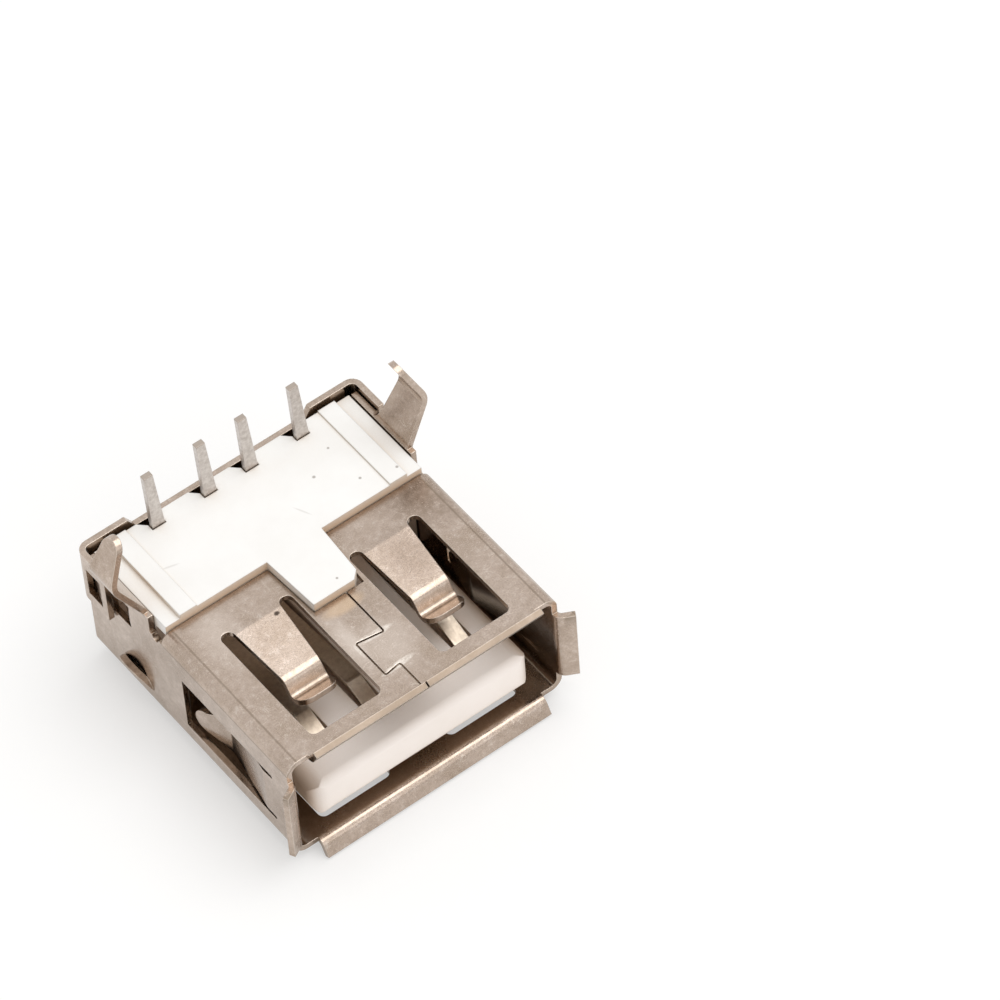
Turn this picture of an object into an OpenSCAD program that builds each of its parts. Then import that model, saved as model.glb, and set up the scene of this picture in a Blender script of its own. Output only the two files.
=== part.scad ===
// Right-angle through-hole USB-A socket, lying on its plain side with the solder pins up.
// X runs across the mouth, the mouth faces -Y and Z is up.
// The shell is one stamped and folded sheet. A white moulding inside it carries four contacts.
// "Depth" is always measured back from the crease where the mouth lips flare.
// "Height" of a shell feature is measured from the outer face of the far wall, the one lying down.

/* [Plug opening] */
// Clear width of the mouth
mouth_w = 12.5; // [12.2:0.05:13]
// Clear height of the mouth
mouth_h = 5.12; // [5:0.02:5.5]
// Depth from the lip crease to the back of the rear plate
shell_d = 13.66; // [13.4:0.02:15]

/* [Sheet metal] */
// Thickness of the sheet
sheet_t = 0.26; // [0.22:0.01:0.32]
// Inside radius of the four long folds
fold_r = 0.3; // [0.2:0.02:0.5]
// Width of the open seam where the sheet's two edges meet
seam_gap = 0.08; // [0.04:0.01:0.1]
// Width of the slits left where one flap of sheet passes another
flap_slit = 0.1; // [0.06:0.01:0.15]

/* [Mouth lips] */
// Length of a lip from its crease to its edge
lip_len = 0.7; // [0.5:0.05:0.9]
// Angle by which a lip flares outwards
lip_angle = 62; // [45:1:75]
// Inside radius of a lip's bend
lip_bend_r = 0.2; // [0.1:0.02:0.3]
// Width of the lips on the board wall and the far wall
wall_lip_w = 10.9; // [9:0.1:11.2]
// Height of the lips on the two side walls
side_lip_h = 3.7; // [2.5:0.1:4.2]

/* [Board wall] */
// Depth of the rear edge of the board wall
board_wall_d = 8.4; // [8:0.05:8.8]
// Depth of the front edge of the spring windows
window_front_d = 0.8; // [0.6:0.05:1.2]
// Depth of the rear ends of the slots beside each spring
slot_rear_d = 6.95; // [6.6:0.05:7.3]
// Width of the slots beside each spring
slot_w = 0.6; // [0.45:0.05:0.7]
// Distance of the inner slot from the middle
slot_inner_x = 1.7; // [1.7:0.02:1.9]
// Distance of the outer slot from the middle
slot_outer_x = 4.5; // [4.3:0.05:4.8]
// Corner radius at the front of the spring windows
window_r = 0.3; // [0.1:0.05:0.5]

/* [Wall springs] */
// Depth of the bend at which a spring turns down
spring_bend_d = 3.9; // [3.8:0.02:4]
// Drop of a board wall spring at that bend
spring_dip = 0.3; // [0.2:0.02:0.4]
// Depth of a spring's lowest line, which presses on the plug
spring_low_d = 3.37; // [3.3:0.01:3.45]
// Drop of a board wall spring at its lowest line
spring_low = 1; // [0.85:0.05:1.1]
// Depth of a spring's upturned tip
spring_tip_d = 2.45; // [2.35:0.02:2.6]
// Drop of a board wall spring at its tip
spring_tip = 0.28; // [0.2:0.02:0.4]
// Share of these drops that the springs in the far wall have
far_spring_share = 0.45; // [0.3:0.05:0.55]
// Width of a spring from its bend to its tip
spring_neck_w = 1.72; // [1.4:0.02:1.8]
// Radius of the corners of its tip
spring_tip_r = 0.5; // [0.3:0.02:0.55]
// Inside radius of a spring's bends
spring_bend_r = 0.2; // [0.15:0.01:0.25]

/* [Dovetail seam] */
// Offset of the seam behind the dovetail tab
seam_rear_x = 0.35; // [0.1:0.05:0.6]
// Offset of the seam in front of the dovetail tab
seam_front_x = -0.1; // [-0.4:0.05:0]
// Offset of the tab's end
tab_x = -0.87; // [-1.2:0.01:-0.7]
// Depth of the tab's front edge
tab_front_d = 1.36; // [1.1:0.02:1.6]
// Depth of the tab's rear edge
tab_rear_d = 3.3; // [2.8:0.02:3.8]
// Angle by which the tab widens to its end
tab_flare = 9; // [0:1:15]

/* [Side springs] */
// Depth of the front ends of the slits
side_front_d = 1.3; // [1:0.05:1.6]
// Depth of the rear edge of the side windows
side_rear_d = 7.25; // [7:0.05:7.6]
// Height of the lower edge of the side windows
side_low = 1.15; // [1:0.05:1.4]
// Height of the upper edge of the side windows
side_high = 4; // [3.8:0.05:4.3]
// Width of the slits above and below the arm's root
side_slit_w = 0.2; // [0.15:0.01:0.3]
// Depth at which the arm starts to lean in
side_hinge_d = 1.9; // [1.7:0.05:2.2]
// Taper of the arm's upper edge from its root to its bend
side_taper = 0.3; // [0.1:0.05:0.5]
// How far the arm reaches into the mouth
side_reach = 0.55; // [0.3:0.05:0.6]
// Depth of the arm's bend
side_bend_d = 4.9; // [4.5:0.05:5.2]
// Depth of the arm's tip
side_tip_d = 6.85; // [6.5:0.05:6.95]
// How much of the reach the arm's tip gives back
side_tip_back = 0.4; // [0.2:0.05:0.5]
// Height of the arm's rounded tip
side_tip_h = 1.2; // [0.8:0.05:1.4]
// Height of the middle of that tip
side_tip_z = 2.05; // [2:0.05:2.6]
// Inside radius of the arm's bends
side_bend_r = 0.4; // [0.2:0.05:0.6]

/* [Snap legs] */
// Depth of the middle of a leg
leg_d = 10.46; // [10.3:0.02:10.6]
// Width of a leg at its root
leg_root_w = 2; // [1.8:0.05:2.2]
// Width of a leg at its kink
leg_kink_w = 1.55; // [1.3:0.05:1.7]
// Radius of a leg's tip
leg_tip_r = 0.5; // [0.4:0.02:0.6]
// Height of the kink above the board wall
leg_kink_h = 2.4; // [2:0.05:2.8]
// Height of the tip above the board wall
leg_tip_h = 4.3; // [4:0.05:4.8]
// Outward lean below the kink
leg_lean = 30; // [20:1:35]
// Inward lean above the kink
leg_return = 24; // [15:1:30]
// Inside radius of a leg's bends
leg_bend_r = 0.6; // [0.3:0.05:0.7]
// Radius of the fillet behind a leg's root
leg_fillet_r = 0.4; // [0.2:0.05:0.5]

/* [Rear plate] */
// Rise of the side walls above the board wall, behind its edge
side_rise = 0.38; // [0.3:0.02:0.42]
// Rise of the rear plate's middle above the board wall
plate_rise = 0.15; // [0:0.05:0.4]
// Rise of the rear plate's two corners above the board wall
corner_rise = 0.7; // [0.55:0.05:0.9]
// Distance of the raised corners from the middle
corner_x = 4.45; // [4.3:0.05:4.8]
// Length of the slope up to each corner
corner_slope = 0.35; // [0.2:0.05:0.5]
// Width of the lower part of the plate, between the side walls
plate_low_w = 12.2; // [11.8:0.05:12.2]
// Height of the lower edge of the wings
wing_low = 3.6; // [3.4:0.05:3.7]
// Length of a wing forward from the back of the plate
wing_len = 1.94; // [1.8:0.02:2]
// Gap between a wing and the side wall it wraps
wing_gap = 0.05; // [0.03:0.01:0.1]
// Inside radius of the bends between the plate and its wings
wing_bend_r = 0.25; // [0.15:0.05:0.4]
// Inside radius of the bend at the plate's feet
foot_bend_r = 0.3; // [0.2:0.05:0.5]
// Width of the middle foot
foot_mid_w = 1.8; // [1.4:0.1:2.4]
// Distance of the outer feet's inner edges from the middle
foot_side_x = 4.45; // [4:0.05:5]
// Height of the cut-outs between the feet
foot_h = 0.65; // [0.6:0.05:1]
// Width of the relief between the board wall and the side walls
relief_w = 0.8; // [0.6:0.05:0.95]
// Drop of that relief below the board wall
relief_drop = 0.5; // [0.3:0.05:0.6]
// Radius of the round hole at the relief's foot
relief_hole_r = 0.22; // [0.15:0.01:0.25]

/* [Latches and lances] */
// Distance of a wing's latch window from the back of the plate
latch_back = 0.66; // [0.64:0.01:0.75]
// Length of a latch window
latch_len = 0.95; // [0.8:0.05:1]
// Height of the lower edge of a latch window
latch_low = 4.1; // [3.8:0.05:4.3]
// Height of a latch window
latch_h = 1.5; // [1.2:0.05:1.6]
// Room round the latch tab in its window
latch_gap = 0.12; // [0.08:0.01:0.15]
// How far a latch tab is bent out of the side wall
tab_bend = 0.25; // [0.15:0.01:0.3]
// Depth of the front edge of the barb windows
barb_front_d = 10.6; // [10.5:0.02:10.7]
// Length of a barb window
barb_len = 1.2; // [0.8:0.05:1.25]
// Height of the lower edge of a barb window
barb_low = 4; // [3.9:0.05:4.1]
// Height of a barb window
barb_h = 1.3; // [0.9:0.05:1.35]
// Length of a holding barb, which is hinged on the front edge of its window
barb_reach = 0.75; // [0.6:0.05:0.85]
// Height of a barb at its root
barb_root_h = 0.85; // [0.7:0.05:1]
// Height of a barb at its tip
barb_tip_h = 0.2; // [0.15:0.05:0.4]
// Depth of the middle of the scoop-shaped lances
scoop_d = 10.66; // [10.4:0.02:10.8]
// Length of a scoop-shaped lance
scoop_len = 2.2; // [1.8:0.05:2.4]
// Height of a scoop-shaped lance
scoop_h = 0.8; // [0.7:0.02:0.9]
// Height of its straight lower edge
scoop_z = 1; // [0.9:0.05:1.2]
// How far the arched upper edge of a scoop stands out from the side wall
scoop_out = 0.52; // [0.4:0.02:0.6]
// How far the barbs are pressed into the moulding
lance_bend = 0.4; // [0.3:0.02:0.5]
// Depth of the pockets behind barbs and scoops in the moulding
lance_room = 0.9; // [0.8:0.05:1.2]

/* [Insulator] */
// Gap between the moulding and the sheet round it
fit_gap = 0.05; // [0.03:0.01:0.08]
// Gap between the moulding and the rear plate
rear_gap = 0.15; // [0.05:0.01:0.2]
// How far the moulding's board face stands above the board wall
board_step = 0.4; // [0.3:0.02:0.5]
// Depth of the cavity, to the front face of the rear block
cavity_d = 9.2; // [8.9:0.05:9.4]
// Width of the tongue
tongue_w = 10.5; // [10.3:0.05:11]
// Thickness of the tongue
tongue_t = 1.9; // [1.84:0.02:2.1]
// Gap between the tongue and the far wall
tongue_gap = 0.72; // [0.65:0.01:0.8]
// Depth of the tongue's nose behind the lip crease
tongue_front_d = 0.41; // [0.2:0.01:0.8]
// Radius of the tongue's corners, seen from the front and from above
tongue_r = 0.65; // [0.2:0.05:0.7]
// Radius of the tongue's nose, seen from the side
nose_r = 0.35; // [0.2:0.05:0.6]
// Length of the rib that fills the notch in the board wall
rib_len = 2.8; // [2.6:0.05:2.9]
// Width of the rib at its front
rib_front_w = 2.3; // [2.1:0.05:2.4]
// Width of the rib at its root
rib_root_w = 2.65; // [2.5:0.05:2.7]
// Chamfer on one front corner of the rib
rib_chamfer = 0.35; // [0.1:0.05:0.4]
// Width of the lower shoulders along the two sides of the board face
shoulder_w = 0.7; // [0.5:0.05:0.9]
// Drop of those shoulders
shoulder_drop = 0.12; // [0.08:0.01:0.2]
// Width of the low rails beside the shoulders, which the board rests on
rail_w = 0.82; // [0.6:0.02:1]
// Rise of those rails above the board face
rail_rise = 0.08; // [0.05:0.01:0.12]
// Flare on one side of the pin slots where they open to the rear
slot_flare = 0.35; // [0.2:0.05:0.4]

/* [Contacts] */
// Spacing of the two middle pins
pitch_mid = 2; // [1.9:0.05:2.1]
// Spacing from a middle pin to the outer pin beside it
pitch_side = 2.5; // [2.4:0.05:2.6]
// Thickness of the contact strip
contact_t = 0.25; // [0.2:0.01:0.3]
// Width of the contact strip
contact_w = 0.7; // [0.6:0.02:0.8]
// Clearance round the strip in the moulding
contact_gap = 0.04; // [0.02:0.01:0.06]
// Width of a solder pin at its root
pin_w = 0.58; // [0.5:0.02:0.7]
// Width of a solder pin at its tip
pin_tip_w = 0.42; // [0.3:0.02:0.5]
// Length of a solder pin above the board face
pin_len = 2.9; // [2.5:0.05:3.5]
// Backward lean of the solder pins
pin_lean = 3.3; // [1:0.1:5]
// Sideways lean of the solder pins at their tips
pin_side = 0.08; // [0:0.01:0.12]
// Distance of the row of pins from the back of the rear plate
pin_back = 0.91; // [0.86:0.01:0.96]
// Inside radius of the strip's bends
contact_bend_r = 0.2; // [0.15:0.01:0.3]
// Width of the tongue's grooves
groove_w = 1; // [0.9:0.02:1.1]
// Depth of the grooves into the tongue
groove_t = 0.8; // [0.7:0.02:0.9]
// Depth of the front ends of the grooves behind the lip crease
groove_front_d = 1.75; // [1.6:0.05:1.8]
// How far the strip lies below the tongue's face where it leaves the block
strip_sink = 0.1; // [0.05:0.01:0.15]
// Depth of the bump that touches the plug
bump_d = 3.6; // [3.4:0.05:4]
// How far the bump stands out of the tongue
bump_rise = 0.4; // [0.3:0.02:0.5]
// Forward length of the end that dips into the groove beyond the bump
dip_len = 1.65; // [1.5:0.05:1.7]
// Downward angle of that end
dip_angle = 20; // [15:1:22]

/* [Hidden] */
$fn = 48;
// Straight pieces that make up one bend of a strip
bend_steps = 6;
// Overlap of joined solids and overshoot of cuts
lap = 0.2;
over = 1;

// The shell's outside and the two distances by which a flared lip leads and drops
shell_w = mouth_w + 2*sheet_t;
shell_h = mouth_h + 2*sheet_t;
lip_r = lip_bend_r + sheet_t/2;
lip_back = lip_r*tan(lip_angle/2);
lip_reach = lip_len*cos(lip_angle) + sheet_t/2*sin(lip_angle);
lip_drop = lip_len*sin(lip_angle) - sheet_t/2*(1 - cos(lip_angle));

// The origin is under the middle of the part, at the lip edge it lies on
rear_y = (shell_d + lip_reach)/2;
mouth_y = rear_y - shell_d;
far_z = lip_drop;
far_in_z = far_z + sheet_t;
mid_z = far_z + shell_h/2;
board_z = far_z + shell_h;
board_in_z = board_z - sheet_t;
function depth(d) = mouth_y + d;
function height(h) = far_z + h;

// Middle of a side wall's sheet, and the ends of the side walls at the rear
side_x = shell_w/2 - sheet_t/2;
side_top = board_z + side_rise;
low_rear_y = rear_y - flap_slit;
high_rear_y = rear_y - sheet_t - wing_bend_r;
foot_y = rear_y - sheet_t - foot_bend_r;
plate_top = board_z + corner_rise;
wing_x = shell_w/2 + wing_gap + sheet_t/2;

// Springs: the line they hinge on and their places
spring_root_d = slot_rear_d - slot_w/2;
spring_x = (slot_inner_x + slot_outer_x)/2;
spring_root_w = slot_outer_x - slot_inner_x - slot_w;
side_root_d = side_front_d + side_slit_w;

// Moulding: board face, tongue and block
seat_z = board_z + board_step;
tongue_low = far_in_z + tongue_gap;
tongue_top = tongue_low + tongue_t;
tongue_mid_z = tongue_low + tongue_t/2;
block_w = mouth_w - 2*fit_gap;
block_rear_y = rear_y - sheet_t - rear_gap;
block_low = far_in_z + fit_gap;
rib_front_y = depth(board_wall_d - rib_len);
tongue_front_y = depth(tongue_front_d);

// Contacts
pin_xs = [-pitch_mid/2 - pitch_side, -pitch_mid/2, pitch_mid/2, pitch_mid/2 + pitch_side];
pin_y = rear_y - pin_back;
beam_z = tongue_top - strip_sink - contact_t/2;
bump_z = tongue_top + bump_rise - contact_t/2;
contact_r = contact_bend_r + contact_t/2;
neck_z = beam_z + 2*contact_r;
rise_y = depth(cavity_d) - over;

// Bent strips, seen edge-on: a polyline whose corners are rounded, with a thickness
function unit(v) = v/norm(v);
function left(v) = [-v[1], v[0]];
function turned(v, a) = [v[0]*cos(a) - v[1]*sin(a), v[0]*sin(a) + v[1]*cos(a)];
function corner_stations(p, q, s, r) =
    let (u = unit(q - p), v = unit(s - q), turn = atan2(cross(u, v), u*v), side = sign(turn))
    let (start = q - r*tan(abs(turn)/2)*u, centre = start + side*r*left(u))
    [for (k = [0:bend_steps]) let (a = turn*k/bend_steps)
        [centre - side*r*turned(left(u), a), turned(u, a)]];
function stations(pts, r) = [
    [pts[0], unit(pts[1] - pts[0])],
    for (i = [1:1:len(pts) - 2]) each corner_stations(pts[i - 1], pts[i], pts[i + 1], r),
    [pts[len(pts) - 1], unit(pts[len(pts) - 1] - pts[len(pts) - 2])]
];
module strip(pts, r, t = sheet_t) {
    line = stations(pts, r);
    upper = [for (s = line) s[0] + t/2*left(s[1])];
    lower = [for (k = [len(line) - 1:-1:0]) line[k][0] - t/2*left(line[k][1])];
    polygon(concat(upper, lower));
}

// Extrusions of a flat outline along each axis
module along_x(x0, x1) {
    translate([x0, 0, 0]) rotate([90, 0, 90]) linear_extrude(x1 - x0) children();
}
module along_y(y0, y1) {
    translate([0, y1, 0]) rotate([90, 0, 0]) linear_extrude(y1 - y0) children();
}
module along_z(z0, z1) {
    translate([0, 0, z0]) linear_extrude(z1 - z0) children();
}
module both_sides() {
    children();
    mirror([1, 0, 0]) children();
}
module on_far_wall() {
    translate([0, 0, 2*mid_z]) mirror([0, 0, 1]) children();
}
module both_walls() {
    children();
    on_far_wall() children();
}

// Flat outlines
module span(x0, x1, y0, y1) {
    translate([x0, y0]) square([x1 - x0, y1 - y0]);
}
module round_rect(w, h, r) {
    square([w - 2*r, h], center = true);
    square([w, h - 2*r], center = true);
    for (sx = [-1, 1], sy = [-1, 1])
        translate([sx*(w/2 - r), sy*(h/2 - r)]) circle(r);
}

// Shell: the folded tube, and the open channel behind the board wall
module tube_section() {
    translate([0, mid_z]) difference() {
        round_rect(shell_w, shell_h, fold_r + sheet_t);
        round_rect(mouth_w, mouth_h, fold_r);
    }
}
module folded_tube() {
    along_y(depth(lip_back), depth(board_wall_d)) tube_section();
    difference() {
        along_y(depth(board_wall_d), low_rear_y) intersection() {
            tube_section();
            span(-shell_w, shell_w, far_z - over, mid_z);
        }
        along_y(foot_y, rear_y)
            span(-plate_low_w/2 - flap_slit, plate_low_w/2 + flap_slit, far_z - over, height(foot_h));
    }
    both_sides() along_x(shell_w/2 - sheet_t, shell_w/2) side_wall_outline();
}
module side_wall_outline() {
    front_y = depth(board_wall_d);
    relief_z = board_z - relief_drop;
    shelf_z = height(wing_low) - flap_slit;
    difference() {
        polygon([[front_y, mid_z - lap], [low_rear_y, mid_z - lap], [low_rear_y, shelf_z],
            [high_rear_y, shelf_z], [high_rear_y, side_top], [front_y, side_top]]);
        span(front_y - over, front_y + relief_w, relief_z, side_top + over);
        translate([front_y + 2*relief_hole_r, relief_z]) circle(relief_hole_r);
    }
}

// Shell: the four flared lips of the mouth
module lips() {
    lead = lip_len*cos(lip_angle);
    flare = lip_len*sin(lip_angle);
    wall_z = board_z - sheet_t/2;
    root_y = depth(lip_back) + lap;
    both_walls() along_x(-wall_lip_w/2, wall_lip_w/2)
        strip([[root_y, wall_z], [mouth_y, wall_z], [mouth_y - lead, wall_z + flare]], lip_r);
    both_sides() along_z(mid_z - side_lip_h/2, mid_z + side_lip_h/2)
        strip([[side_x, root_y], [side_x, mouth_y], [side_x + flare, mouth_y - lead]], lip_r);
}

// Shell: windows and springs of the board wall and, mirrored, of the far wall
module wall_window() {
    x0 = slot_inner_x - slot_w/2;
    x1 = slot_outer_x + slot_w/2;
    front_y = depth(window_front_d);
    root_y = depth(spring_root_d);
    span(x0, x1, front_y + window_r, root_y);
    span(x0 + window_r, x1 - window_r, front_y, front_y + over);
    for (x = [x0 + window_r, x1 - window_r])
        translate([x, front_y + window_r]) circle(window_r);
    for (x = [slot_inner_x, slot_outer_x])
        translate([x, root_y]) circle(slot_w/2);
}
module wall_spring_outline() {
    root_y = depth(spring_root_d);
    bend_y = depth(spring_bend_d);
    tip_y = depth(spring_tip_d);
    translate([spring_x, 0]) {
        polygon([[-spring_root_w/2, root_y + lap], [-spring_root_w/2, root_y], [-spring_neck_w/2, bend_y],
            [-spring_neck_w/2, tip_y + spring_tip_r], [spring_neck_w/2, tip_y + spring_tip_r],
            [spring_neck_w/2, bend_y], [spring_root_w/2, root_y], [spring_root_w/2, root_y + lap]]);
        translate([0, (bend_y + tip_y)/2]) round_rect(spring_neck_w, bend_y - tip_y, spring_tip_r);
    }
}
module wall_spring(share) {
    z = board_z - sheet_t/2;
    root_y = depth(spring_root_d);
    low = [depth(spring_low_d), z - share*spring_low];
    tip = [depth(spring_tip_d), z - share*spring_tip];
    intersection() {
        along_x(0, shell_w/2)
            strip([[root_y + lap, z], [root_y, z], [depth(spring_bend_d), z - share*spring_dip], low,
                tip + lap*unit(tip - low)], spring_bend_r + sheet_t/2);
        along_z(mid_z, board_z + over) wall_spring_outline();
    }
}

// Shell: notch for the moulding's rib, and the seam with its dovetail tab
module rib_notch() {
    front_y = rib_front_y - fit_gap;
    edge_y = depth(board_wall_d);
    x0 = rib_front_w/2 + fit_gap;
    x1 = rib_root_w/2 + fit_gap;
    polygon([[-x0, front_y], [x0, front_y], [x1, edge_y], [x1, edge_y + over],
        [-x1, edge_y + over], [-x1, edge_y]]);
}
module seam() {
    rear_flare = (seam_rear_x - tab_x)*tan(tab_flare);
    front_flare = (seam_front_x - tab_x)*tan(tab_flare);
    strip([[seam_rear_x, rib_front_y + lap], [seam_rear_x, depth(tab_rear_d) - rear_flare],
        [tab_x, depth(tab_rear_d)], [tab_x, depth(tab_front_d)],
        [seam_front_x, depth(tab_front_d) + front_flare], [seam_front_x, mouth_y - over]],
        seam_gap, seam_gap);
}

// Shell: side windows, each with an arm rooted at the front that bows into the mouth
module side_window() {
    span(depth(side_root_d), depth(side_rear_d), height(side_low), height(side_high));
    for (z = [height(side_low) + side_slit_w/2, height(side_high) - side_slit_w/2]) {
        span(depth(side_front_d) + side_slit_w/2, depth(side_root_d), z - side_slit_w/2, z + side_slit_w/2);
        translate([depth(side_front_d) + side_slit_w/2, z]) circle(side_slit_w/2);
    }
}
module side_arm_outline() {
    root_y = depth(side_front_d);
    bend_y = depth(side_bend_d);
    tip_y = depth(side_tip_d) - side_tip_h/2;
    z0 = height(side_low) + side_slit_w;
    z1 = height(side_high) - side_slit_w;
    tip_z = height(side_tip_z);
    polygon([[root_y, z0], [bend_y, z0], [tip_y, tip_z - side_tip_h/2], [tip_y, tip_z + side_tip_h/2],
        [bend_y, z1 - side_taper], [root_y, z1]]);
    translate([tip_y, tip_z]) circle(side_tip_h/2);
}
module side_arm() {
    bend_x = side_x - side_reach;
    intersection() {
        along_z(far_z, board_z)
            strip([[side_x, depth(side_front_d)], [side_x, depth(side_hinge_d)],
                [bend_x, depth(side_bend_d)], [bend_x + side_tip_back, depth(side_tip_d) + lap]],
                side_bend_r + sheet_t/2);
        along_x(0, shell_w) side_arm_outline();
    }
}

// Shell: snap legs, kinked outwards and back
module leg_outline() {
    kink_z = board_z + leg_kink_h;
    tip_z = board_z + leg_tip_h - leg_tip_r;
    translate([depth(leg_d), 0]) {
        polygon([[-leg_root_w/2, side_top - lap], [leg_root_w/2, side_top - lap], [leg_root_w/2, side_top],
            [leg_kink_w/2, kink_z], [leg_tip_r, tip_z], [-leg_tip_r, tip_z], [-leg_kink_w/2, kink_z],
            [-leg_root_w/2, side_top]]);
        translate([0, tip_z]) circle(leg_tip_r);
        translate([leg_root_w/2 - lap, side_top - lap]) difference() {
            square(leg_fillet_r + lap);
            translate([leg_fillet_r + lap, leg_fillet_r + lap]) circle(leg_fillet_r);
        }
    }
}
module leg() {
    kink = [side_x + (leg_kink_h - side_rise)*tan(leg_lean), board_z + leg_kink_h];
    tip = kink + (leg_tip_h - leg_kink_h + lap)*[-tan(leg_return), 1];
    intersection() {
        along_y(depth(leg_d) - leg_root_w, depth(leg_d) + leg_root_w)
            strip([[side_x, side_top - over], [side_x, side_top], kink, tip], leg_bend_r + sheet_t/2);
        along_x(0, shell_w) leg_outline();
    }
}

// Shell: rear plate on its feet, with wings that wrap the side walls
module rear_plate() {
    sheet_z = far_z + sheet_t/2;
    sheet_y = rear_y - sheet_t/2;
    dip_z = board_z + plate_rise;
    dip_x = corner_x - corner_slope;
    difference() {
        along_x(-plate_low_w/2, plate_low_w/2)
            strip([[foot_y - lap, sheet_z], [sheet_y, sheet_z], [sheet_y, height(wing_low)]],
                foot_bend_r + sheet_t/2);
        both_sides() along_y(foot_y - lap, rear_y + over)
            span(foot_mid_w/2, foot_side_x, far_z - over, height(foot_h));
    }
    difference() {
        both_sides() along_z(height(wing_low), plate_top)
            strip([[0, sheet_y], [wing_x, sheet_y], [wing_x, rear_y - wing_len]], wing_bend_r + sheet_t/2);
        along_y(sheet_y - over, rear_y + over)
            polygon([[-corner_x, plate_top + over], [-corner_x, plate_top], [-dip_x, dip_z],
                [dip_x, dip_z], [corner_x, plate_top], [corner_x, plate_top + over]]);
        both_sides() along_x(shell_w/2, wing_x + over)
            span(rear_y - latch_back - latch_len, rear_y - latch_back,
                height(latch_low), height(latch_low + latch_h));
    }
}

// Shell: tabs lanced out of the side walls. A positive bend leans outwards.
module lanced_tab(hinge_y, free_y, z0, z1, bend) {
    root_y = hinge_y - lap*sign(free_y - hinge_y);
    along_z(z0, z1)
        strip([[side_x, root_y], [side_x, hinge_y], [side_x + bend, free_y]], sheet_t);
}
module scoop_outline() {
    r = (scoop_len*scoop_len/4 + scoop_h*scoop_h)/(2*scoop_h);
    translate([depth(scoop_d), height(scoop_z)]) intersection() {
        translate([0, scoop_h - r]) circle(r);
        span(-scoop_len, scoop_len, 0, scoop_h + over);
    }
}
module scoop_lance() {
    z = height(scoop_z);
    intersection() {
        along_y(depth(scoop_d - scoop_len), depth(scoop_d + scoop_len))
            strip([[side_x, z - lap], [side_x, z], [side_x + scoop_out, z + scoop_h + lap]], sheet_t);
        along_x(0, shell_w) union() {
            scoop_outline();
            translate([depth(scoop_d), z]) span(-scoop_len/2, scoop_len/2, -lap, lap/4);
        }
    }
}
module barb() {
    z = height(barb_low + barb_h/2);
    root_y = barb_y0 - over;
    tip_y = barb_y0 + barb_reach;
    root = barb_root_h/2;
    tip = barb_tip_h/2;
    intersection() {
        lanced_tab(barb_y0, tip_y + lap, barb_z0, barb_z1, -lance_bend);
        along_x(0, shell_w)
            polygon([[root_y, z - root], [barb_y0, z - root], [tip_y, z - tip],
                [tip_y, z + tip], [barb_y0, z + root], [root_y, z + root]]);
    }
}

latch_z0 = height(latch_low) + latch_gap;
latch_z1 = height(latch_low + latch_h) - latch_gap;
latch_y0 = rear_y - latch_back - latch_len + latch_gap;
latch_y1 = rear_y - latch_back - latch_gap;
barb_y0 = depth(barb_front_d);
barb_y1 = depth(barb_front_d + barb_len);
barb_z0 = height(barb_low);
barb_z1 = height(barb_low + barb_h);

module shell() {
    color([0.78, 0.72, 0.65]) {
        difference() {
            union() {
                folded_tube();
                lips();
                rear_plate();
            }
            both_sides() both_walls() along_z(board_in_z - lap, board_z + lap) wall_window();
            along_z(board_in_z - lap, board_z + lap) rib_notch();
            along_z(board_in_z - lap, board_z + over) seam();
            both_sides() along_x(shell_w/2 - sheet_t - lap, shell_w/2 + lap) side_window();
            both_sides() along_x(shell_w/2 - sheet_t - lap, shell_w/2) {
                span(latch_y0, latch_y1, latch_z0, latch_z1);
                span(barb_y0, barb_y1, barb_z0, barb_z1);
                scoop_outline();
            }
        }
        both_sides() {
            wall_spring(1);
            on_far_wall() wall_spring(far_spring_share);
            side_arm();
            leg();
            lanced_tab(latch_y1, latch_y0, latch_z0, latch_z1, tab_bend);
            barb();
            scoop_lance();
        }
    }
}

// Insulator: rear block, tongue and rib as one moulding
module block_section() {
    low_h = mid_z - block_low;
    translate([0, block_low + low_h]) intersection() {
        round_rect(block_w, 2*low_h, fold_r);
        span(-block_w, block_w, -low_h - over, 0);
    }
    span(-block_w/2, block_w/2, mid_z - lap, seat_z);
}
module tongue() {
    length = depth(cavity_d) + over - tongue_front_y;
    mid_y = tongue_front_y + length/2;
    intersection() {
        along_y(tongue_front_y, tongue_front_y + length)
            translate([0, tongue_mid_z]) round_rect(tongue_w, tongue_t, tongue_r);
        along_x(-tongue_w/2, tongue_w/2)
            translate([mid_y, tongue_mid_z]) round_rect(length, tongue_t, nose_r);
        along_z(tongue_low, tongue_top)
            translate([0, mid_y]) round_rect(tongue_w, length, tongue_r);
    }
}
module rib() {
    root_y = depth(board_wall_d) + fit_gap;
    along_z(board_in_z, seat_z)
        polygon([[-rib_root_w/2, root_y + lap], [-rib_root_w/2, root_y], [-rib_front_w/2, rib_front_y],
            [rib_front_w/2 - rib_chamfer, rib_front_y], [rib_front_w/2, rib_front_y + rib_chamfer],
            [rib_root_w/2, root_y], [rib_root_w/2, root_y + lap]]);
}
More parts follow.
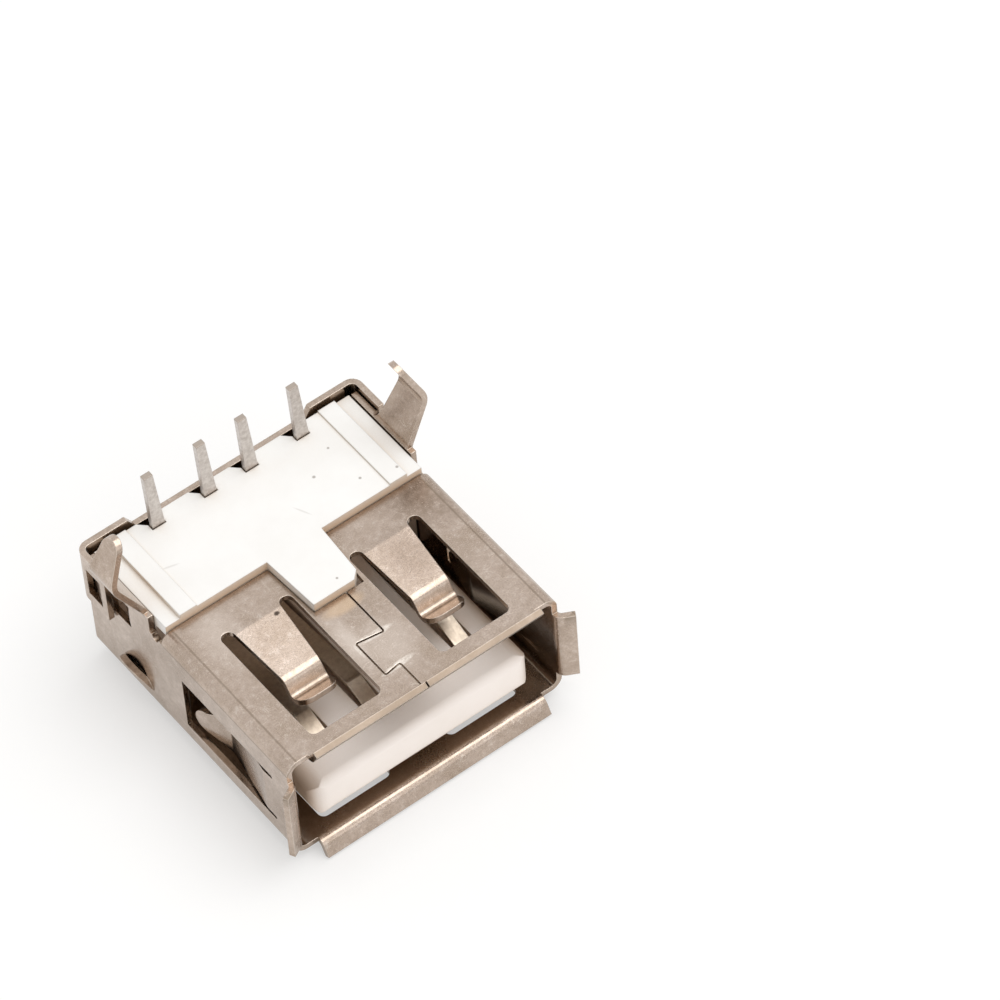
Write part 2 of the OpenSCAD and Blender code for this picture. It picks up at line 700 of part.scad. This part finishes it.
module contact_room(x) {
    half = contact_w/2 + contact_gap;
    pin_half = pin_w/2 + contact_gap;
    front_y = pin_y - contact_t/2 - contact_gap;
    low_z = beam_z - contact_t/2 - contact_gap;
    along_z(tongue_top - groove_t, tongue_top + over)
        span(x - groove_w/2, x + groove_w/2, depth(groove_front_d), depth(cavity_d));
    along_y(depth(cavity_d) - lap, block_rear_y + over)
        span(x - half, x + half, low_z, beam_z + contact_t/2 + contact_gap);
    along_z(low_z, neck_z + contact_gap)
        span(x - half, x + half, front_y - contact_bend_r, block_rear_y + over);
    along_z(low_z, seat_z + over)
        polygon([[x - pin_half, front_y], [x + pin_half, front_y], [x + pin_half, block_rear_y + over],
            [x - pin_half - slot_flare, block_rear_y + over], [x - pin_half - slot_flare, block_rear_y],
            [x - pin_half, block_rear_y - slot_flare]]);
}
module lance_rooms() {
    room_x = shell_w/2 - sheet_t - lance_room;
    along_x(room_x, shell_w/2) {
        span(barb_y0 - latch_gap, barb_y1 + latch_gap, barb_z0 - latch_gap, barb_z1 + latch_gap);
        translate([depth(scoop_d), height(scoop_z)])
            span(-scoop_len/2 - latch_gap, scoop_len/2 + latch_gap, -latch_gap, scoop_h + latch_gap);
    }
}
module insulator() {
    foot_cut = foot_bend_r + sheet_t;
    color([0.95, 0.94, 0.92]) difference() {
        union() {
            along_y(depth(cavity_d), block_rear_y) block_section();
            along_y(depth(board_wall_d) + fit_gap, depth(cavity_d) + lap)
                span(-block_w/2, block_w/2, board_in_z, seat_z);
            tongue();
            rib();
            both_sides() along_z(seat_z - lap, seat_z + rail_rise)
                span(block_w/2 - shoulder_w - rail_w, block_w/2 - shoulder_w,
                    depth(board_wall_d) + fit_gap, block_rear_y);
        }
        along_x(-shell_w, shell_w)
            translate([block_rear_y + over, block_low - over])
                polygon([[0, 0], [-foot_cut - 2*over, 0], [0, foot_cut + 2*over]]);
        both_sides() {
            along_z(seat_z - shoulder_drop, seat_z + over)
                span(block_w/2 - shoulder_w, block_w, depth(board_wall_d), rear_y);
            lance_rooms();
        }
        for (x = pin_xs) contact_room(x);
    }
}

// Contacts: solder pin, bend, run through the block, then the springy end on the tongue
module pin(x) {
    root_z = neck_z - lap;
    tip_z = seat_z + pin_len;
    tip_x = x - pin_side;
    beyond = [pin_y, seat_z] + (pin_len + lap)*[tan(pin_lean), 1];
    intersection() {
        along_x(x - pin_w, x + pin_w)
            strip([[pin_y, root_z], [pin_y, seat_z], beyond], contact_r, contact_t);
        along_y(pin_y - over, pin_y + over)
            polygon([[x - pin_w/2, root_z], [x - pin_w/2, seat_z], [tip_x - pin_tip_w/2, tip_z],
                [tip_x + pin_tip_w/2, tip_z], [x + pin_w/2, seat_z], [x + pin_w/2, root_z]]);
    }
}
module contact(x) {
    bump = [depth(bump_d), bump_z];
    end = bump + dip_len*[-1, -tan(dip_angle)];
    color([0.8, 0.79, 0.76]) {
        along_x(x - contact_w/2, x + contact_w/2)
            strip([[pin_y, neck_z], [pin_y, beam_z], [rise_y, beam_z], bump, end], contact_r, contact_t);
        pin(x);
    }
}

shell();
insulator();
contact(pin_xs[0]);  // contact_1
contact(pin_xs[1]);  // contact_2
contact(pin_xs[2]);  // contact_3
contact(pin_xs[3]);  // contact_4
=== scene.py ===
# %% [markdown]
# # Dressing a USB-A socket
# The solids of the socket are already modelled at their real size. This lesson gives them their finish: a
# dull nickel sheet with grain and scratches, a matt white moulding, and tinned contacts. Everything is in
# metres, and the part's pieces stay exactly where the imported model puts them.

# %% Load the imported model
import math

import bmesh
import bpy
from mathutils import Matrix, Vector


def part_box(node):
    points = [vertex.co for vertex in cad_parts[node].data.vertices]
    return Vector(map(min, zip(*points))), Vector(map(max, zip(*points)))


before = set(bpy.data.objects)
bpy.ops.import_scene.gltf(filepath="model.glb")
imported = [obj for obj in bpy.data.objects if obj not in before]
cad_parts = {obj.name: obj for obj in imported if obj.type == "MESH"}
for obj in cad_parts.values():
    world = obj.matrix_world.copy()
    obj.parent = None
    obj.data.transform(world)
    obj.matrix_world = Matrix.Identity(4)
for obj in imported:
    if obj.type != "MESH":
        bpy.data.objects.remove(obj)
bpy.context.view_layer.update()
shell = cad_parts["shell"]
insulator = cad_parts["insulator"]
contacts = [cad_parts[f"contact_{k}"] for k in (1, 2, 3, 4)]
scene = bpy.context.scene
print("pieces:", sorted(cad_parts))

# %% [markdown]
# ## Camera
# A long lens from above and in front flattens the perspective, which is how small parts are photographed.
# The place and the turn were found by matching corners of the solids with the same corners in the
# picture, so they are plain numbers here. The lens is in millimetres on a sensor 36 mm wide, and the turn
# in degrees.

# %% Camera
camera_place = (-0.081754, -0.135204, 0.207922)
camera_turn = (38.5167, 2.9127, -37.3914)
camera_data = bpy.data.cameras.new("camera")
camera_data.sensor_width = 36
camera_data.lens = 237.39
camera_data.clip_start = 0.01
camera = bpy.data.objects.new("camera", camera_data)
camera.location = camera_place
camera.rotation_euler = [math.radians(angle) for angle in camera_turn]
scene.collection.objects.link(camera)
scene.camera = camera
print("camera stands", round(camera.location.length, 3), "m from the part")

# %% [markdown]
# ## Node helpers
# A material is a small network of nodes, and a few helpers keep it readable. The first adds a node and
# sets its sockets by name or, after an underscore, by number. A socket takes either a value or the output
# of an earlier node. The others do a sum, weaken a mask, turn a number into a chosen range, lay one
# colour over another, start a material whose places are in millimetres, and make a noise.

# %% Node helpers
def put(tree, kind, out=0, settings=None, **sockets):
    node = tree.nodes.new(kind)
    for name, value in (settings or {}).items():
        setattr(node, name, value)
    for name, value in sockets.items():
        socket = node.inputs[int(name[1:])] if name[0] == "_" else node.inputs[name.replace("_", " ")]
        if isinstance(value, bpy.types.NodeSocket):
            tree.links.new(value, socket)
        else:
            socket.default_value = value
    return node.outputs[out]


def math_node(tree, operation, a, b=0.5):
    return put(tree, "ShaderNodeMath", settings={"operation": operation}, _0=a, _1=b)


def weaker(tree, mask, share):
    return math_node(tree, "MULTIPLY", mask, share)


def ranged(tree, value, low, high, to_low=0.0, to_high=1.0):
    return put(tree, "ShaderNodeMapRange", Value=value, From_Min=low, From_Max=high, To_Min=to_low,
               To_Max=to_high)


def blend_colour(tree, factor, first, second, kind="MIX"):
    settings = {"data_type": "RGBA", "blend_type": kind, "clamp_factor": True}
    return put(tree, "ShaderNodeMix", out=2, settings=settings, _0=factor, _6=first, _7=second)


def new_material(name):
    material = bpy.data.materials.new(name)
    material.use_nodes = True
    tree = material.node_tree
    shader = tree.nodes["Principled BSDF"]
    place = put(tree, "ShaderNodeTexCoord", out=3)
    millimetres = put(tree, "ShaderNodeMapping", Vector=place, Scale=(1000, 1000, 1000))
    return material, tree, shader, millimetres


def noise(tree, vector, scale, detail=4.0, roughness=0.55, distortion=0.0):
    return put(tree, "ShaderNodeTexNoise", Vector=vector, Scale=scale, Detail=detail, Roughness=roughness,
               Distortion=distortion)


print("node helpers ready")

# %% [markdown]
# ## Marks
# Handling leaves marks in known places, a pit and a few specks, and a painted dark reflection is laid in the
# same way. Each could be painted on an image, but an oval in millimetres is enough and stays sharp at any
# distance. A mark is looked at from above, so it would also show on the walls below. To keep it on the board
# side, everything under a given height is pushed out of reach. Several marks make one mask when the highest
# of them counts.

# %% Marks
def from_above(tree, vector, lowest):
    """The place as seen from above, out of reach of every mark below the given height."""
    fade, out_of_reach = 0.2, 2.0
    x, y, z = put(tree, "ShaderNodeSeparateXYZ", Vector=vector).node.outputs
    sunk = ranged(tree, z, lowest, lowest + fade, out_of_reach, 0.0)
    return put(tree, "ShaderNodeCombineXYZ", X=x, Y=y, Z=sunk)


def mark(tree, vector, centre, half_length, half_width, turn=0.0, soft=0.5):
    """A soft oval seen from above: 1 inside, 0 outside."""
    settings = {"vector_type": "TEXTURE"}
    inside = put(tree, "ShaderNodeMapping", settings=settings, Vector=vector, Location=(*centre, 0),
                 Rotation=(0, 0, math.radians(turn)), Scale=(half_length, half_width, 1))
    away = put(tree, "ShaderNodeVectorMath", out=1, settings={"operation": "LENGTH"}, _0=inside)
    return ranged(tree, away, 1.0 - soft, 1.0, 1.0, 0.0)


def highest(tree, masks):
    top = masks[0]
    for mask in masks[1:]:
        top = math_node(tree, "MAXIMUM", top, mask)
    return top


print("mark helpers ready")

# %% [markdown]
# ## Nickel sheet: plate and grain
# The shell is a folded steel sheet with a dull nickel plate. Up close it is mottled, because the plate
# follows the grain of the sheet. The colour could be one grey, but then the flat walls look like plastic.
# Here wide clouds, a finer grain and a speckle are three noises in millimetres, and the colours are laid
# over each other in turn. The cells after this one go on with the same network.

# %% Nickel sheet: plate and grain
light_nickel, dark_nickel = (0.525, 0.43, 0.362, 1), (0.43, 0.343, 0.28, 1)
grain_brown, grain_pale = (0.30, 0.23, 0.165, 1), (0.76, 0.68, 0.61, 1)

nickel, tree, shader, mm = new_material("nickel_sheet")
clouds = noise(tree, mm, 0.55, 4.0, 0.6)
grain = noise(tree, mm, 3.6, 4.0, 0.72)
speckle = noise(tree, mm, 16.0, 2.0, 0.6)
plate = blend_colour(tree, ranged(tree, clouds, 0.36, 0.66), light_nickel, dark_nickel)
mottled = blend_colour(tree, ranged(tree, grain, 0.46, 0.74, 0.0, 0.42), plate, grain_brown)
paled = blend_colour(tree, ranged(tree, grain, 0.28, 0.44, 0.36, 0.0), mottled, grain_pale)
sparkle = blend_colour(tree, 1.0, paled, ranged(tree, speckle, 0.3, 0.7, 0.89, 1.11), "MULTIPLY")
print("plate:", len(tree.nodes), "nodes")

# %% [markdown]
# ## Nickel sheet: scratches
# Tumbling in a tray leaves fine curled scratches, and the stamping tool a few straight ones. A curl is
# the contour line of a smooth noise, thin where the noise crosses one half, and a second noise breaks it
# into pieces. The straight ones are a noise stretched along one direction.

# %% Nickel sheet: scratches
scratch_bright = (0.80, 0.71, 0.62, 1)
scratch_share = 0.32
curl_kinds = ((0.7, 3.0), (1.1, 11.0))
draw_turn, draw_stretch = (0.2, 0.1, math.radians(-38)), (6, 0.3, 6)

curls = []
for scale, shift in curl_kinds:
    moved = put(tree, "ShaderNodeMapping", Vector=mm, Location=(shift, shift, shift))
    level = math_node(tree, "SUBTRACT", noise(tree, moved, scale, 1.0, 0.5, 1.3), 0.5)
    line = ranged(tree, math_node(tree, "ABSOLUTE", level), 0.001, 0.006, 1.0, 0.0)
    curls.append(weaker(tree, line, ranged(tree, noise(tree, moved, 0.6, 1.0), 0.5, 0.58)))
drawn = put(tree, "ShaderNodeMapping", Vector=mm, Rotation=draw_turn, Scale=draw_stretch)
straight = ranged(tree, noise(tree, drawn, 1.6, 2.0, 0.5, 0.6), 0.68, 0.74, 0.0, 0.6)
scratches = highest(tree, [*curls, straight])
scratched = blend_colour(tree, weaker(tree, scratches, scratch_share), sparkle, scratch_bright)
print("kinds of scratches:", len(curls) + 1)

# %% [markdown]
# ## Nickel sheet: marks on the board wall
# The board wall has its own marks, and most of them are painted light: pale patches that are painted
# reflections, a tan band before the centre rib that is the painted reflection of the rib's front face,
# painted highlights along the short sides of the seam, a painted dark reflection at the right end, a darker
# blade on one side and one dark pit. Each is a mark at its place, in millimetres from the middle of the
# part.

# %% Nickel sheet: marks on the board wall
pale_reflection, rib_reflection_tan, seam_highlight = (0.76, 0.665, 0.59, 1), (0.72, 0.53, 0.36, 1), (0.84, 0.76, 0.68, 1)
right_side_dark, pit_black = (0.25, 0.185, 0.14, 1), (0.03, 0.02, 0.015, 1)
below_board_wall = 5.0

flat = from_above(tree, mm, below_board_wall)
# Painted reflections: pale patches beside the seam, on the left of the wall and on the seam's tab.
beside_seam = mark(tree, flat, (-0.95, -3.2), 0.6, 2.0, 0, 0.8)
left_wall = weaker(tree, mark(tree, flat, (-4.7, 0.4), 1.2, 2.4, 0, 0.9), 0.65)
seam_tab = weaker(tree, mark(tree, flat, (0.1, -4.1), 1.3, 1.7, 0, 0.6), 0.6)
pale = highest(tree, [beside_seam, left_wall, seam_tab])
pale_reflected = blend_colour(tree, weaker(tree, pale, 0.65), scratched, pale_reflection)

# Painted reflection of the rib's front face: a tan band in front of the rib.
rib_reflection = weaker(tree, mark(tree, flat, (-0.15, -1.5), 1.1, 0.45, 0, 0.5), 0.6)
rib_reflected = blend_colour(tree, rib_reflection, pale_reflected, rib_reflection_tan)

# Painted highlights along the short sides of the seam, broken up by the grain.
rear_seam_highlight = mark(tree, flat, (-0.1, -3.39), 0.95, 0.2, -2, 0.3)
front_seam_highlight = mark(tree, flat, (-0.2, -5.15), 0.9, 0.18, 4, 0.3)
side_seam_highlight = mark(tree, flat, (-0.97, -3.7), 0.1, 0.45, 0, 0.4)
seam_highlights = highest(tree, [rear_seam_highlight, front_seam_highlight, side_seam_highlight])
seam_highlights = weaker(tree, seam_highlights, ranged(tree, grain, 0.42, 0.6, 1.0, 0.3))
seam_highlighted = blend_colour(tree, seam_highlights, rib_reflected, seam_highlight)

# Painted dark reflection at the right end of the wall, broken up by the grain; the right blade is made
# darker too.
dark_reflection = mark(tree, flat, (5.2, 0.9), 1.6, 2.4, 30, 0.9)
dark_reflection = weaker(tree, dark_reflection, ranged(tree, grain, 0.35, 0.6, 0.3, 0.8))
darker_blade = weaker(tree, mark(tree, flat, (3.4, -1.1), 1.4, 1.9, 0, 0.7), 0.5)
right_side_darkened = blend_colour(tree, highest(tree, [dark_reflection, darker_blade]), seam_highlighted, right_side_dark)
pit = mark(tree, flat, (-2.34, -0.15), 0.15, 0.12)
pitted = blend_colour(tree, weaker(tree, pit, 0.9), right_side_darkened, pit_black)
print("marked board wall:", len(tree.nodes), "nodes so far")

# %% [markdown]
# ## Nickel sheet: fold lines and the cut lip
# Along the two corners of the board wall a thin dark line is painted: a painted dark reflection of the fold.
# It lies where the distance from the middle and the height add up to one number, so one sum finds both
# corners, and it ends before the rear plate. The lip's sheared edge at the mouth is rougher, and its colour
# is darkened as painted shade. Left as bright as the rest, it would catch the lamps.

# %% Nickel sheet: fold lines and the cut lip
fold_dark_reflection, lip_painted_shade = (0.20, 0.15, 0.105, 1), (0.22, 0.17, 0.125, 1)
fold_sum, fold_start, fold_end = 12.17, 1.6, 1.8
lip_front, lip_back = -6.86, -6.8
lip_low, lip_high = 4.6, 5.4

x, y, z = put(tree, "ShaderNodeSeparateXYZ", Vector=mm).node.outputs
round_corner = math_node(tree, "ADD", math_node(tree, "ABSOLUTE", x), z)
from_line = math_node(tree, "ABSOLUTE", math_node(tree, "SUBTRACT", round_corner, fold_sum))
before_plate = ranged(tree, y, fold_start, fold_end, 1.0, 0.0)
# Painted dark reflection: a thin line along both folds.
folds = weaker(tree, ranged(tree, from_line, 0.02, 0.055, 0.55, 0.0), before_plate)
folded = blend_colour(tree, folds, pitted, fold_dark_reflection)
# Painted shade: the lip's cut edge is darkened so that it doesn't catch the lamps.
sheared = weaker(tree, ranged(tree, y, lip_front, lip_back, 1.0, 0.0), ranged(tree, z, lip_low, lip_high))
lip_shaded = blend_colour(tree, weaker(tree, sheared, 0.75), folded, lip_painted_shade)
print("fold lines at", fold_sum, "mm, lip edge from", lip_front, "mm")

# %% [markdown]
# ## Nickel sheet: tarnish, painted shade and painted edge highlights
# Brown tarnish sits in the places that nothing rubs, and the same brown, reaching a few millimetres, is
# painted shade deep inside the shell. Ambient occlusion tells how open a place is. The Bevel node rounds
# every cut edge by a few hundredths of a millimetre, as stamping does, without new faces. Where it turns the
# normal on an open edge, a painted highlight makes the metal brighter.

# %% Nickel sheet: tarnish, painted shade and painted edge highlights
tarnish_and_shade_brown, edge_highlight = (0.18, 0.115, 0.055, 1), (0.88, 0.80, 0.71, 1)
sheet_reach, sheet_edge = 0.005, 0.00005

openness = put(tree, "ShaderNodeAmbientOcclusion", out=1, settings={"samples": 6}, Distance=sheet_reach)
# Tarnish in the crevices, and painted shade deep inside the shell.
tarnish_and_shade = ranged(tree, openness, 0.06, 0.8, 0.76, 0.0)
tarnished_and_shaded = blend_colour(tree, tarnish_and_shade, lip_shaded, tarnish_and_shade_brown)

rounded = put(tree, "ShaderNodeBevel", settings={"samples": 5}, Radius=sheet_edge)
plain_normal = put(tree, "ShaderNodeNewGeometry", out=1)
agree = put(tree, "ShaderNodeVectorMath", out=1, settings={"operation": "DOT_PRODUCT"}, _0=rounded,
            _1=plain_normal)
# Painted highlight on the open, rounded edges.
edge = weaker(tree, ranged(tree, agree, 0.98, 0.84), ranged(tree, openness, 0.3, 0.6))
edge_highlighted = blend_colour(tree, weaker(tree, edge, 0.6), tarnished_and_shaded, edge_highlight)
tree.links.new(edge_highlighted, shader.inputs["Base Color"])
print("edges rounded by", sheet_edge * 1000, "mm")

# %% [markdown]
# ## Nickel sheet: gloss and relief
# Dull nickel is neither mirror nor matt. The gloss changes with the clouds and the speckle, and the cut
# lip is rougher. The grain and the scratches also give a very low relief, which breaks up the
# reflections.

# %% Nickel sheet: gloss and relief
relief_depth = 0.00001

patchy = ranged(tree, clouds, 0.3, 0.7, 0.16, 0.26)
rough = math_node(tree, "ADD", patchy, ranged(tree, speckle, 0.3, 0.7, -0.03, 0.06))
rough = math_node(tree, "ADD", rough, weaker(tree, sheared, 0.2))
tree.links.new(rough, shader.inputs["Roughness"])
shader.inputs["Metallic"].default_value = 1.0

height = math_node(tree, "ADD", grain, weaker(tree, scratches, -0.4))
height = math_node(tree, "ADD", height, weaker(tree, speckle, 0.25))
bumpy = put(tree, "ShaderNodeBump", Strength=0.22, Distance=relief_depth, Height=height, Normal=rounded)
tree.links.new(bumpy, shader.inputs["Normal"])

shell.data.materials.clear()
shell.data.materials.append(nickel)
print("nickel sheet:", len(tree.nodes), "nodes")

# %% [markdown]
# ## White moulding
# The insulator is one matt white moulding. Its corners where it meets the metal get a painted warm shade,
# its low front faces along the board wall get a painted tan reflection of the plate, and the tongue in the
# mouth gets a painted warm light, a little pinker than the rest. The light alone would show some of this.
# The painted tones follow how open a place is, which way it faces and how high it lies.

# %% White moulding
clean_white, soft_white = (0.93, 0.925, 0.91, 1), (0.90, 0.89, 0.87, 1)
painted_warm_shade, painted_plate_reflection, painted_tongue_light = (0.66, 0.52, 0.38, 1), (0.68, 0.50, 0.35, 1), (1.04, 0.968, 0.93, 1)
moulding_reach = 0.003
front_low, front_full, tan_from, tan_to = 6.1, 6.2, 6.3, 6.7
tongue_top, block_low = 5.6, 5.9

moulding, tree, shader, mm = new_material("white_moulding")
tone = noise(tree, mm, 0.5, 3.0)
white = blend_colour(tree, ranged(tree, tone, 0.35, 0.65), clean_white, soft_white)
openness = put(tree, "ShaderNodeAmbientOcclusion", out=1, settings={"samples": 6}, Distance=moulding_reach)
# Painted warm shade in corners and where the moulding meets the metal.
shaded = blend_colour(tree, ranged(tree, openness, 0.3, 0.86, 0.75, 0.0), white, painted_warm_shade)

# Painted reflection of the plate on the low front faces.
facing = put(tree, "ShaderNodeSeparateXYZ", out=1, Vector=put(tree, "ShaderNodeNewGeometry", out=1))
level = put(tree, "ShaderNodeSeparateXYZ", out=2, Vector=mm)
reflecting_fronts = weaker(tree, ranged(tree, facing, -0.9, -0.5, 1.0, 0.0), ranged(tree, level, front_low, front_full))
reflecting_fronts = weaker(tree, reflecting_fronts, ranged(tree, level, tan_from, tan_to, 0.85, 0.3))
plate_reflected = blend_colour(tree, reflecting_fronts, shaded, painted_plate_reflection)
# Painted warm light on the tongue in the mouth.
tongue = ranged(tree, level, tongue_top, block_low, 1.0, 0.0)
toned = blend_colour(tree, tongue, plate_reflected, painted_tongue_light, "MULTIPLY")
print("moulding toned below", block_low, "mm")

# %% [markdown]
# ## White moulding: specks, scuffs and texture
# A real moulding is never quite clean: there are a few dark specks and two grey scuffs from handling.
# Random specks would do, but these few are put where they were seen. The mould was spark-eroded, which
# leaves a fine even texture on the plastic.

# %% White moulding: specks, scuffs and texture
scuff_grey, speck_dark = (0.55, 0.52, 0.49, 1), (0.28, 0.24, 0.21, 1)
speck_places = [((3.91, 4.91), 0.07), ((2.61, 4.09), 0.09), ((3.98, 2.89), 0.08), ((0.32, -0.53), 0.07),
                ((5.4, 2.36), 0.08)]
moulding_edge = 0.00007
below_block = 5.8

flat = from_above(tree, mm, below_block)
specks = highest(tree, [mark(tree, flat, place, size, size) for place, size in speck_places])
left_scuff = mark(tree, flat, (-4.36, 4.08), 0.45, 0.06, -15)
middle_scuff = mark(tree, flat, (1.25, 3.0), 0.5, 0.05, -65)
scuffs = highest(tree, [left_scuff, middle_scuff])
scuffed = blend_colour(tree, weaker(tree, scuffs, 0.35), toned, scuff_grey)
specked = blend_colour(tree, weaker(tree, specks, 0.7), scuffed, speck_dark)
tree.links.new(specked, shader.inputs["Base Color"])

texture = noise(tree, mm, 14.0, 3.0, 0.6)
tree.links.new(ranged(tree, texture, 0.3, 0.7, 0.42, 0.58), shader.inputs["Roughness"])
rounded = put(tree, "ShaderNodeBevel", settings={"samples": 5}, Radius=moulding_edge)
bumpy = put(tree, "ShaderNodeBump", Strength=0.25, Distance=relief_depth, Height=texture, Normal=rounded)
tree.links.new(bumpy, shader.inputs["Normal"])
shader.inputs["Specular IOR Level"].default_value = 0.4

insulator.data.materials.clear()
insulator.data.materials.append(moulding)
print("white moulding:", len(tree.nodes), "nodes,", len(speck_places), "specks")

# %% [markdown]
# ## Contacts
# Each contact is one strip of bronze. The solder pin is tinned, so it is grey, its top end is darker, and
# the part that rubs on the plug keeps a yellower tone. Two materials would need a cut through the solid, so
# one material changes with height instead: bronze below the board face, tin above it, darker at the end.

# %% Contacts
light_tin, dark_tin = (0.66, 0.615, 0.58, 1), (0.48, 0.435, 0.40, 1)
light_bronze, dark_bronze = (0.62, 0.53, 0.43, 1), (0.48, 0.40, 0.32, 1)
darker_tip = (0.42, 0.36, 0.31, 1)
strip_edge = 0.00003
board_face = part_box("insulator")[1].z * 1000
pin_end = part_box("contact_1")[1].z * 1000
tin_low, tin_high = board_face - 1.2, board_face - 0.6
darker_tip_low, darker_tip_high = pin_end - 0.05, pin_end - 0.02

contact_metal, tree, shader, mm = new_material("contact_strip")
height_mm = put(tree, "ShaderNodeSeparateXYZ", out=2, Vector=mm)
grain = noise(tree, mm, 6.0, 3.0, 0.65)
tin = blend_colour(tree, ranged(tree, grain, 0.35, 0.7), light_tin, dark_tin)
bronze = blend_colour(tree, ranged(tree, grain, 0.35, 0.7), light_bronze, dark_bronze)
plated = blend_colour(tree, ranged(tree, height_mm, tin_low, tin_high), bronze, tin)
ended = blend_colour(tree, ranged(tree, height_mm, darker_tip_low, darker_tip_high), plated, darker_tip)
tree.links.new(ended, shader.inputs["Base Color"])

draw_lines = put(tree, "ShaderNodeMapping", Vector=mm, Scale=(14, 2, 2))
streaks = noise(tree, draw_lines, 1.5, 3.0)
tree.links.new(ranged(tree, streaks, 0.3, 0.7, 0.28, 0.4), shader.inputs["Roughness"])
shader.inputs["Metallic"].default_value = 1.0
rounded = put(tree, "ShaderNodeBevel", settings={"samples": 5}, Radius=strip_edge)
height = math_node(tree, "ADD", streaks, weaker(tree, grain, 0.5))
bumpy = put(tree, "ShaderNodeBump", Strength=0.15, Distance=relief_depth, Height=height, Normal=rounded)
tree.links.new(bumpy, shader.inputs["Normal"])

for contact in contacts:
    contact.data.materials.clear()
    contact.data.materials.append(contact_metal)
print("contacts dressed:", len(contacts))

# %% [markdown]
# ## Floor
# The part lies on a plain pale floor. A flat sheet that keeps the soft shadow under the part is enough.
# For the camera and for reflections, a share of plain white is mixed in, so that the sheet runs into the
# white background without any extra light on the part.

# %% Floor
white_share = 0.45
mesh = bpy.data.meshes.new("floor")
bm = bmesh.new()
bmesh.ops.create_grid(bm, x_segments=1, y_segments=1, size=1.5)
bm.to_mesh(mesh)
bm.free()
floor = bpy.data.objects.new("floor", mesh)
scene.collection.objects.link(floor)


def seen_directly(tree):
    """1 for rays from the camera, in reflections and through glass, 0 for the light on matt surfaces."""
    rays = tree.nodes.new("ShaderNodeLightPath").outputs
    return highest(tree, [rays["Is Camera Ray"], rays["Is Glossy Ray"], rays["Is Transmission Ray"]])


paper = bpy.data.materials.new("pale_paper")
paper.use_nodes = True
tree = paper.node_tree
shader = tree.nodes["Principled BSDF"]
shader.inputs["Base Color"].default_value = (0.985, 0.985, 0.98, 1)
shader.inputs["Roughness"].default_value = 0.9
glow = put(tree, "ShaderNodeEmission")
seen = weaker(tree, seen_directly(tree), white_share)
mixed = put(tree, "ShaderNodeMixShader", _0=seen, _1=shader.outputs[0], _2=glow)
tree.links.new(mixed, tree.nodes["Material Output"].inputs["Surface"])
floor.data.materials.append(paper)
print("floor:", [round(side, 2) for side in floor.dimensions])

# %% [markdown]
# ## Surround
# A light tent: the whole surround glows softly. It is plain white for the camera and for reflections, and
# dimmer for the light that falls on matt surfaces, so that white plastic doesn't clip.

# %% Surround
tent_strength = 0.67
world = bpy.data.worlds.new("tent")
scene.world = world
world.use_nodes = True
tree = world.node_tree
tree.nodes.clear()
soft = put(tree, "ShaderNodeBackground", Color=(1.0, 0.985, 0.965, 1), Strength=tent_strength)
plain = put(tree, "ShaderNodeBackground", Color=(1, 1, 1, 1), Strength=1.0)
mixed = put(tree, "ShaderNodeMixShader", _0=seen_directly(tree), _1=soft, _2=plain)
output = tree.nodes.new("ShaderNodeOutputWorld")
tree.links.new(mixed, output.inputs["Surface"])
print("surround:", tent_strength, "on matt surfaces, 1 elsewhere")

# %% [markdown]
# ## Lamps
# A large lamp overhead gives the folds of the metal their bright lines, and a weaker one in front lights
# the tongue in the mouth. Both are wide disks, so that their shadows stay soft. Sizes are in metres.

# %% Lamps
def lamp(name, place, aim, size, watts):
    data = bpy.data.lights.new(name, "AREA")
    data.shape = "DISK"
    data.size = size
    data.energy = watts
    lamp_object = bpy.data.objects.new(name, data)
    lamp_object.location = place
    direction = aim - lamp_object.location
    lamp_object.rotation_euler = direction.to_track_quat("-Z", "Y").to_euler()
    scene.collection.objects.link(lamp_object)
    return lamp_object


middle = (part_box("shell")[0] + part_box("shell")[1]) / 2
overhead = lamp("overhead", (0.135, -0.075, 0.475), middle, size=0.5, watts=1.25)
front = lamp("front", (0.02, -0.56, 0.32), middle, size=0.4, watts=0.32)
print("lamps:", overhead.name, front.name)

# %% [markdown]
# ## Finish
# The colours are shown as they are, with the Standard view transform.

# %% Finish
scene.view_settings.view_transform = "Standard"
